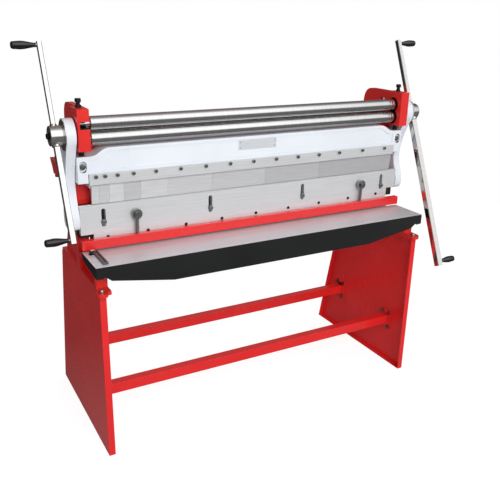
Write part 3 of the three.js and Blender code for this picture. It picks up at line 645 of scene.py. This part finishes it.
def turned(name, stations, place, direction, sides=48):
    """A round piece: a disc drawn out along its axis and resized at each (distance, radius) station."""
    (start, radius), *rest = stations
    bpy.ops.object.select_all(action="DESELECT")
    bpy.ops.mesh.primitive_circle_add(vertices=sides, radius=radius, fill_type="NGON")
    piece = bpy.context.object
    piece.name = name
    bpy.ops.object.mode_set(mode="EDIT")
    bpy.ops.transform.translate(value=(0, 0, start))
    at = start
    for distance, next_radius in rest:
        bpy.ops.mesh.extrude_region_move(TRANSFORM_OT_translate={"value": (0, 0, distance - at)})
        ratio = next_radius / radius
        if abs(ratio - 1) > 1e-6:
            bpy.ops.transform.resize(value=(ratio, ratio, 1), center_override=(0, 0, distance))
        at, radius = distance, next_radius
    bpy.ops.mesh.select_all(action="SELECT")
    bpy.ops.mesh.normals_make_consistent(inside=False)
    bpy.ops.object.mode_set(mode="OBJECT")
    swing = Vector((0, 0, 1)).rotation_difference(Vector(direction)).to_matrix().to_4x4()
    piece.data.transform(Matrix.Translation(place) @ swing)
    smooth(piece, 30)
    return piece


def rounded_end(radius, at, corner, outward, steps=4):
    """Stations that round a corner: outward 1 closes a far end, -1 opens a near one."""
    angles = [i * math.pi / 2 / steps for i in range(steps + 1)]
    if outward < 0:
        angles.reverse()
    return [
        (at - outward * corner * (1 - math.sin(a)), radius - corner * (1 - math.cos(a)))
        for a in angles
    ]


def cylinder_stations(length, radius, corner):
    near = rounded_end(radius, 0, corner, -1)
    far = rounded_end(radius, length, corner, 1)
    return near + far


def head_model(sides, radius, height, socket):
    """A screw head standing on z = 0, chamfered on top, with a hexagon socket when asked."""
    bpy.ops.object.select_all(action="DESELECT")
    centre = (0, 0, height / 2)
    bpy.ops.mesh.primitive_cylinder_add(vertices=sides, radius=radius, depth=height, location=centre)
    model = bpy.context.object
    bpy.ops.object.transform_apply(location=True, rotation=True, scale=True)
    apply(
        model,
        "BEVEL",
        width=0.14 * radius,
        segments=2,
        limit_method="ANGLE",
        angle_limit=math.radians(65 if sides > 6 else 80),
    )
    if socket:
        depth = 0.6 * height
        bpy.ops.object.select_all(action="DESELECT")
        bpy.ops.mesh.primitive_cylinder_add(
            vertices=6,
            radius=0.55 * radius,
            depth=2 * depth,
            location=(0, 0, height),
        )
        key = bpy.context.object
        apply(model, "BOOLEAN", operation="DIFFERENCE", object=key, solver="EXACT")
        bpy.data.objects.remove(key)
    smooth(model, 32)
    return model


def place_copy(model, name, place, direction, node, material, spin=0.0):
    piece = bpy.data.objects.new(name, model.data.copy())
    scene.collection.objects.link(piece)
    swing = Vector((0, 0, 1)).rotation_difference(Vector(direction)).to_matrix().to_4x4()
    piece.data.transform(Matrix.Translation(place) @ swing @ Matrix.Rotation(spin, 4, "Z"))
    return finish(piece, node, material)


def washer(name, radius, thick, place, direction, node, material):
    piece = turned(name, cylinder_stations(thick, radius, 0.3 * thick), place, direction, 32)
    return finish(piece, node, material)


FRONTWARD = (0, -1, 0)
UPWARD = (0, 0, 1)
HEX_HEAD = head_model(6, 8.5 * MM, 6.5 * MM, socket=False)
CAP_HEAD = head_model(24, 6.8 * MM, 7.5 * MM, socket=True)
SLOT_HEAD = head_model(6, 9.5 * MM, 7.0 * MM, socket=False)
BLADE_HEAD = head_model(24, 6.4 * MM, 1.8 * MM, socket=True)


# ---------------------------------------------------------------- stand
PLATE_THICK = 5 * MM
BOLT_INSET = (9 * MM, 11 * MM)


def make_stand():
    for side, _ in SIDES:
        eased(f"stand_panel_{side}", 1.8 * MM, RED_SHEET)
    for bar in ("front_cross_bar", "rear_cross_bar"):
        eased(bar, 2.0 * MM, RED_SHEET)
        bolt_bar_ends(bar)


def bolt_bar_ends(bar):
    lo, hi = low(bar), high(bar)
    for side, at in SIDES:
        face = at * (hi.x - PLATE_THICK)
        corners = [
            (y, z)
            for y in (lo.y + BOLT_INSET[0], hi.y - BOLT_INSET[0])
            for z in (lo.z + BOLT_INSET[1], hi.z - BOLT_INSET[1])
        ]
        for i, (y, z) in enumerate(corners):
            name = f"{bar}_bolt_{side}_{i + 1}"
            washer(name + "_washer", 9.5 * MM, 1.6 * MM, (face, y, z), (-at, 0, 0), bar, ZINC)
            place_copy(HEX_HEAD, name, (face - at * 1.6 * MM, y, z), (-at, 0, 0), bar, ZINC, 0.4 * i)


# ---------------------------------------------------------------- side frames
FOOT_TOP = high("stand_panel_left").z + 13.7 * MM
EAR_BOLT_X = {"left": -706 * MM, "right": 688 * MM}


def make_side_frames():
    for side, at in SIDES:
        node = f"side_frame_{side}"
        casting = eased(node, 2.6 * MM, RED_CAST)
        if side == "left":
            # Painted shade: the inside faces of the bearing slot take blackened steel.
            paint_shade_inside(casting, bearing_slot_shade(), BLACK_OXIDE)
        ear = Vector((EAR_BOLT_X[side], STAND_FRONT - 4 * MM, FOOT_TOP))
        washer(f"ear_washer_{side}", 11 * MM, 1.8 * MM, ear, UPWARD, node, ZINC)
        dome = [(0, 8.5 * MM), (3 * MM, 8.5 * MM)] + rounded_end(8.5 * MM, 8 * MM, 5 * MM, 1, 6)
        bolt = turned(f"ear_bolt_{side}", dome, ear + Vector((0, 0, 1.8 * MM)), UPWARD, 32)
        finish(bolt, node, CHROME)
        eased(f"rear_screw_{side}", 0.8 * MM, BLACK_OXIDE, 2)
        eased(f"jack_screw_{side}", 0.8 * MM, BLACK_OXIDE, 2)
        make_top_screw(side)


def bearing_slot_shade():
    """The inside of the slot that the upper roll's left end swings out of, where dark material stands in as
    painted shade.
    """
    roll = middle("upper_roll")
    reach = 13.5 * MM
    lo, hi = low("side_frame_left"), high("side_frame_left")
    return (lo.x + 1 * MM, lo.y, roll.z - reach), (hi.x - 1 * MM, roll.y + reach, roll.z + reach)


def paint_shade_inside(piece, space, material):
    """Faces whose middle lies in the space between two corners get a second, dark material as painted shade.
    """
    lo, hi = space
    piece.data.materials.append(material)
    for face in piece.data.polygons:
        inside = all(a < v < b for a, v, b in zip(lo, face.center, hi))
        if inside and abs(face.normal.x) < 0.9 and face.normal.y > -0.9:
            face.material_index = 1


def make_top_screw(side):
    node = f"top_screw_{side}"
    lo, hi = low(node), high(node)
    centre = middle(node)
    frame_top = high(f"side_frame_{side}").z
    base = Vector((centre.x, centre.y, frame_top + 0.3 * MM))
    shank = [(lo.z - base.z, 8 * MM), (9 * MM, 8 * MM), (9.5 * MM, 7 * MM), (17 * MM, 7 * MM)]
    head = [(17.2 * MM, 9.5 * MM), (18 * MM, 10.5 * MM)] + rounded_end(10.5 * MM, hi.z - base.z, 2 * MM, 1)
    screw = turned(node + "_finished", shank + head, base, UPWARD, 32)
    finish(screw, node, BLACK_OXIDE, replaced=True)
    nut = head_model(6, 10.5 * MM, 8 * MM, socket=False)
    place_copy(nut, f"top_lock_nut_{side}", base, UPWARD, node, BLACK_OXIDE, 0.3)
    bpy.data.objects.remove(nut)


# ---------------------------------------------------------------- shear table
def make_table():
    piece = eased("bed_table", 1.6 * MM, BLACK_CAST)
    piece.data.materials.append(TABLE_STEEL)
    for face in piece.data.polygons:
        if face.normal.z > 0.35 and face.center.z > TABLE_TOP - 3 * MM:
            face.material_index = 1
    eased("lower_blade", 0.4 * MM, DIE_STEEL, 2)
    make_gauge()


def make_gauge():
    """A dark steel strip with a channel along its top, and the screw that sets it across."""
    piece = copy_of("side_gauge", "side_gauge_finished")
    bpy.ops.object.mode_set(mode="EDIT")
    bpy.ops.mesh.select_all(action="DESELECT")
    bpy.ops.object.mode_set(mode="OBJECT")
    for face in piece.data.polygons:
        face.select = face.normal.z > 0.9
    bpy.ops.object.mode_set(mode="EDIT")
    bpy.ops.mesh.select_mode(type="FACE")
    bpy.ops.mesh.inset(thickness=4.5 * MM)
    bpy.ops.mesh.extrude_region_move(TRANSFORM_OT_translate={"value": (0, 0, -4 * MM)})
    bpy.ops.object.mode_set(mode="OBJECT")
    ease_edges(piece, 0.6 * MM, 2)
    finish(piece, "side_gauge", GAUGE_STEEL, replaced=True)
    lo, hi = low("side_gauge"), high("side_gauge")
    for i, share in enumerate((0.2, 0.8)):
        spot = (middle("side_gauge").x, lo.y + share * (hi.y - lo.y), hi.z - 4 * MM)
        place_copy(BLADE_HEAD, f"gauge_screw_{i + 1}", spot, UPWARD, "side_gauge", ZINC)
    knob_spot = (lo.x - 9 * MM, hi.y - 22 * MM, TABLE_TOP)
    washer("gauge_clamp_foot", 8.5 * MM, 2 * MM, knob_spot, UPWARD, "side_gauge", BLACK_OXIDE)
    knob = turned(
        "gauge_clamp_knob",
        [(0, 4 * MM), (3 * MM, 4 * MM)] + rounded_end(7 * MM, 10 * MM, 2.5 * MM, 1),
        Vector(knob_spot) + Vector((0, 0, 2 * MM)),
        UPWARD,
        24,
    )
    finish(knob, "side_gauge", BLACK_OXIDE)


# ---------------------------------------------------------------- ram, die and upper blade
SLOT_X = (-631 * MM, -208 * MM, 217 * MM, 635 * MM)
SLOT_SCREW_RISE = 98 * MM
BLADE_SCREWS = 9
BLADE_SCREW_SPAN = (-619 * MM, 611 * MM)
BLADE_SCREW_RISE = (40.5 * MM, 60.6 * MM)


def make_ram():
    # The ram takes the dark steel that stands in for painted shade.
    eased("ram_beam", 1.5 * MM, RAM_STEEL_SHADED, 2)
    eased("die_plate", 0.9 * MM, DIE_STEEL)
    eased("upper_blade", 0.4 * MM, DIE_STEEL, 2)
    face = low("die_plate").y
    for i, x in enumerate(SLOT_X):
        spot = Vector((x, face, TABLE_TOP + SLOT_SCREW_RISE))
        washer(f"die_washer_{i + 1}", 10.5 * MM, 1.5 * MM, spot, FRONTWARD, "die_plate", ZINC)
        spot.y -= 1.5 * MM
        place_copy(SLOT_HEAD, f"die_screw_{i + 1}", spot, FRONTWARD, "die_plate", ZINC, 0.5)
    for i in range(BLADE_SCREWS):
        share = i / (BLADE_SCREWS - 1)
        x = BLADE_SCREW_SPAN[0] + share * (BLADE_SCREW_SPAN[1] - BLADE_SCREW_SPAN[0])
        rise = BLADE_SCREW_RISE[0] + share * (BLADE_SCREW_RISE[1] - BLADE_SCREW_RISE[0])
        spot = (x, face, TABLE_TOP + rise)
        place_copy(BLADE_HEAD, f"blade_screw_{i + 1}", spot, FRONTWARD, "upper_blade", BLACK_OXIDE)


# ---------------------------------------------------------------- hold-down
def make_hold_down():
    eased("hold_down_bar", 1.6 * MM, RED_SHEET)
    for side, _ in SIDES:
        post = f"hold_down_post_{side}"
        bolt = f"hold_down_bolt_{side}"
        eased(post, 1.2 * MM, ZINC)
        eased(bolt, 1.0 * MM, ZINC, 2)
        spot = Vector((middle(bolt).x, low(post).y, middle(bolt).z))
        washer(f"hold_down_washer_{side}", 12.5 * MM, 0.25 * MM, spot, FRONTWARD, bolt, ZINC)


# ---------------------------------------------------------------- upper beam and fingers
CLAMP_SCREW_RISE = 30 * MM
EVEN_SCREWS = (-337 * MM, 102.7 * MM, 8)
END_SCREWS = (504 * MM, 624 * MM)


def make_beam():
    beam = eased("upper_beam", 2.2 * MM, WHITE_CAST)
    # Painted shade: the inside faces of both bolt slots take blackened steel.
    paint_shade_inside(beam, bolt_slot_shade(-1), BLACK_OXIDE)
    paint_shade_inside(beam, bolt_slot_shade(1), BLACK_OXIDE)
    eased("clamp_bar", 0.8 * MM, CLAMP_STEEL, 2)
    eased("roll_tie_bar", 1.2 * MM, RED_CAST, 2)
    narrow_middles = []
    for number in range(1, 10):
        node = f"finger_die_{number}"
        eased(node, 0.45 * MM, finger_steel(number), 2)
        if number <= 5:
            narrow_middles.append(middle(node).x)
    first, pitch, count = EVEN_SCREWS
    places = narrow_middles + [first + i * pitch for i in range(count)] + list(END_SCREWS)
    face = low("clamp_bar")
    for i, x in enumerate(places):
        spot = (x, face.y, face.z + CLAMP_SCREW_RISE)
        place_copy(CAP_HEAD, f"clamp_screw_{i + 1}", spot, FRONTWARD, "clamp_bar", ZINC, 0.7 * i)
    for side, _ in SIDES:
        make_beam_bolt(side)
    make_name_plate()


def bolt_slot_shade(at):
    """The inside of the slot round a beam bolt, where dark material stands in as painted shade."""
    bolt = middle("beam_bolt_left" if at < 0 else "beam_bolt_right")
    front = low("upper_beam").y
    reach = (13.5 * MM, 0, 20.5 * MM)
    return (
        (bolt.x - reach[0], front + 0.4 * MM, bolt.z - reach[2]),
        (bolt.x + reach[0], front + 12.5 * MM, bolt.z + reach[2]),
    )


def make_beam_bolt(side):
    node = f"beam_bolt_{side}"
    lo, hi = low(node), high(node)
    centre = middle(node)
    start = Vector((centre.x, hi.y, centre.z))
    head = hi.y - lo.y
    shank = [(0, 7 * MM), (head - 9 * MM, 7 * MM), (head - 8.8 * MM, 9.8 * MM)]
    bolt = turned(node + "_finished", shank + rounded_end(9.8 * MM, head, 1.5 * MM, 1), start, FRONTWARD, 32)
    finish(bolt, node, ZINC, replaced=True)


def make_name_plate():
    """A blank plate with a fine raised border and four rivets."""
    piece = copy_of("name_plate", "name_plate_finished")
    bpy.ops.object.mode_set(mode="EDIT")
    bpy.ops.mesh.select_all(action="DESELECT")
    bpy.ops.object.mode_set(mode="OBJECT")
    for face in piece.data.polygons:
        face.select = face.normal.y < -0.9
    bpy.ops.object.mode_set(mode="EDIT")
    bpy.ops.mesh.select_mode(type="FACE")
    bpy.ops.mesh.inset(thickness=2.2 * MM)
    bpy.ops.mesh.extrude_region_move(TRANSFORM_OT_translate={"value": (0, 0.4 * MM, 0)})
    bpy.ops.object.mode_set(mode="OBJECT")
    ease_edges(piece, 0.15 * MM, 2)
    finish(piece, "name_plate", PLATE_ALLOY, replaced=True)
    lo, hi = low("name_plate"), high("name_plate")
    inset = 7 * MM
    corners = [(x, z) for x in (lo.x + inset, hi.x - inset) for z in (lo.z + inset, hi.z - inset)]
    for i, (x, z) in enumerate(corners):
        dome = [(0, 2 * MM)] + rounded_end(2 * MM, 1 * MM, 0.9 * MM, 1)
        rivet = turned(f"plate_rivet_{i + 1}", dome, (x, lo.y + 0.4 * MM, z), FRONTWARD, 16)
        finish(rivet, "name_plate", ZINC)


# ---------------------------------------------------------------- rolls
ROLL_R = 24 * MM
JOURNAL_R = 12 * MM
ROLL_ENDS = (-660 * MM, 672.5 * MM)
BENDING_ENDS = (-656 * MM, 656 * MM)
GROOVE_INSETS = (38 * MM, 27 * MM, 16 * MM)
GROOVE_HALF = 3 * MM
GROOVE_DEEP = 2.4 * MM


def roll_stations(node, ends, journal, grooves):
    left, right = ends
    near, far = low(node).x, high(node).x
    stations = [(near, journal - 1 * MM), (near + 1 * MM, journal), (left, journal)]
    stations += rounded_end(ROLL_R, left, 1.5 * MM, -1)
    for inset in grooves:
        centre = right - inset
        for i in range(7):
            angle = math.pi * i / 6
            dip = GROOVE_DEEP * math.sin(angle)
            stations.append((centre - GROOVE_HALF * math.cos(angle), ROLL_R - dip))
    stations += rounded_end(ROLL_R, right, 1.5 * MM, 1)
    return stations + [(right, journal), (far - 1 * MM, journal), (far, journal - 1 * MM)]


def make_roll(node, ends, journal, grooves):
    centre = Vector((0, middle(node).y, middle(node).z))
    roll = turned(node + "_finished", roll_stations(node, ends, journal, grooves), centre, (1, 0, 0), 96)
    finish(roll, node, ROLL_STEEL, replaced=True)


def make_rolls():
    make_roll("upper_roll", ROLL_ENDS, JOURNAL_R, GROOVE_INSETS)
    make_roll("lower_roll", ROLL_ENDS, JOURNAL_R, GROOVE_INSETS)
    make_roll("bending_roll", BENDING_ENDS, 10 * MM, ())
    for gear in ("upper_roll_gear", "lower_roll_gear"):
        eased(gear, 0.3 * MM, BLACK_OXIDE, 2)
    for side, _ in SIDES:
        eased(f"bending_roll_slide_{side}", 0.8 * MM, BLACK_OXIDE, 2)


# ---------------------------------------------------------------- connecting arms, hubs, levers and grips
THROW = 17 * MM
SLEEVE_R = 33 * MM
HUB_R = 34 * MM
LEAN = math.radians(23.5)
LEVER_UP = Vector((0, math.sin(LEAN), math.cos(LEAN)))
HUB_Z = middle("lower_roll").z + THROW


def make_arms():
    for side, _ in SIDES:
        arm = f"connecting_arm_{side}"
        eased(arm, 4.0 * MM, WHITE_CAST, 4)
        eased(f"arm_pin_{side}", 1.2 * MM, ZINC, 2)
        top = Vector((middle(arm).x, middle(arm).y - 26 * MM, high(arm).z - 7.4 * MM))
        dome = [(0, 3.2 * MM), (1 * MM, 3.2 * MM)] + rounded_end(3.2 * MM, 3.2 * MM, 2 * MM, 1)
        oiler = turned(f"arm_oiler_{side}", dome, top, (0, -0.45, 0.9), 20)
        finish(oiler, arm, BLACK_OXIDE)


def make_crank():
    for side, at in SIDES:
        make_hub(side, at)
        for place, way, node in (("upper", 1, f"upper_arm_{side}"), ("lower", -1, f"lower_lever_{side}")):
            eased(node, 0.9 * MM, CHROME)
            make_socket(side, at, place, way, node)
            make_grip(f"{place}_grip_{side}", at)


def make_hub(side, at):
    """Sleeve, cover flange and barrel in one turning, with the clamping bolt on its end."""
    node = f"crank_hub_{side}"
    lo, hi = low(node), high(node)
    sleeve_in = lo.x if at > 0 else -hi.x
    barrel_out = (hi.x if at > 0 else -lo.x) - 9 * MM
    flange_r = (hi.z - lo.z) / 2
    flange_in = 750.6 * MM
    flange_out = flange_in + 3 * MM
    stations = [(sleeve_in, SLEEVE_R), (flange_in, SLEEVE_R)]
    stations += [(flange_in, flange_r - 0.8 * MM), (flange_in + 0.8 * MM, flange_r)]
    stations += [(flange_out - 0.8 * MM, flange_r), (flange_out, flange_r - 0.8 * MM), (flange_out, HUB_R)]
    stations += rounded_end(HUB_R, barrel_out, 3 * MM, 1)
    stations += [(barrel_out, 21 * MM), (barrel_out - 1.2 * MM, 20 * MM)]
    centre = Vector((0, ROLL_Y, HUB_Z))
    hub = turned(node + "_finished", stations, centre, (at, 0, 0), 72)
    finish(hub, node, CHROME, replaced=True)
    end = centre + Vector((at * (barrel_out - 1.2 * MM), 0, 0))
    washer(f"hub_washer_{side}", 13 * MM, 2 * MM, end, (at, 0, 0), node, BLACK_OXIDE)
    bolt = head_model(6, 10 * MM, 8 * MM, socket=False)
    spot = end + Vector((at * 2 * MM, 0, 0))
    place_copy(bolt, f"hub_bolt_{side}", spot, (at, 0, 0), node, BLACK_OXIDE, 0.4)
    bpy.data.objects.remove(bolt)


BOSS_R = {
    ("upper", "left"): 12 * MM,
    ("upper", "right"): 14.5 * MM,
    ("lower", "left"): 15 * MM,
    ("lower", "right"): 19.5 * MM,
}


def lever_x(at):
    return at * 777.6 * MM


def make_socket(side, at, place, way, node):
    """The boss round the spot where a lever enters the hub."""
    start = Vector((lever_x(at), ROLL_Y, HUB_Z)) + LEVER_UP * way * 26 * MM
    radius = BOSS_R[place, side]
    boss = turned(
        f"{place}_lever_boss_{side}",
        [(0, radius)] + rounded_end(radius, 13 * MM, 2.5 * MM, 1),
        start,
        LEVER_UP * way,
        40,
    )
    finish(boss, node, CHROME)


def make_grip(node, at):
    """A swelling handle with a rounded butt and a steel ferrule at its neck."""
    lo, hi = low(node), high(node)
    near = lo.x if at > 0 else -hi.x
    long = hi.x - lo.x
    centre = Vector((0, middle(node).y, middle(node).z))
    fat = (hi.z - lo.z) / 2
    thin = 0.5 * fat
    stations = []
    for i in range(19):
        share = i / 18
        swell = math.sin(0.5 * math.pi * min(share / 0.72, 1)) ** 1.6
        taper = 1 - 0.1 * max(share - 0.72, 0) / 0.28
        stations.append((near + 3 * MM + share * 0.86 * long, (thin + (fat - thin) * swell) * taper))
    stations += rounded_end(stations[-1][1], near + long, 0.09 * long, 1, 6)[1:]
    grip = turned(node + "_finished", stations, centre, (at, 0, 0), 40)
    finish(grip, node, PHENOLIC, replaced=True)
    ferrule = turned(
        node + "_ferrule",
        cylinder_stations(4.5 * MM, thin + 0.6 * MM, 0.8 * MM),
        centre + Vector((at * near, 0, 0)),
        (at, 0, 0),
        32,
    )
    finish(ferrule, node, ZINC)


# ---------------------------------------------------------------- making
set_camera()
set_studio()
make_stand()
make_side_frames()
make_table()
make_ram()
make_hold_down()
make_beam()
make_rolls()
make_arms()
make_crank()
for template in (HEX_HEAD, CAP_HEAD, SLOT_HEAD, BLADE_HEAD):
    bpy.data.objects.remove(template)
